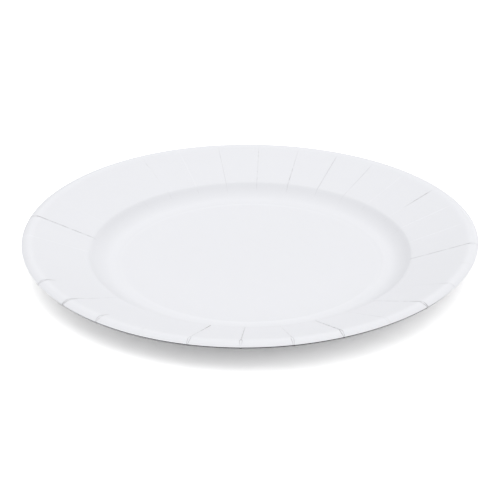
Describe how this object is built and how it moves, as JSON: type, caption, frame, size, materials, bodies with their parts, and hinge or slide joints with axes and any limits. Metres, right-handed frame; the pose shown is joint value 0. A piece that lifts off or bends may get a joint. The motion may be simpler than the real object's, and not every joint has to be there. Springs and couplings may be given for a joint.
{
  "type": "paper plate",
  "caption": "Round disposable paper plate: flat floor with a pressed ring, curved well, sloping pleated flange and a rolled-over rim, pressed from one thin board.",
  "frame": {"origin": "middle of the plate's underside, on the surface it rests on", "axes": "+Z is the plate's axis, up out of the well"},
  "size_m": [0.23, 0.23, 0.0172],
  "materials": {
    "coated_board": "white coated board, smooth and matt, with a faint sheen"
  },
  "bodies": {
    "root": {"plate": "coated_board"}
  },
  "joints": []
}
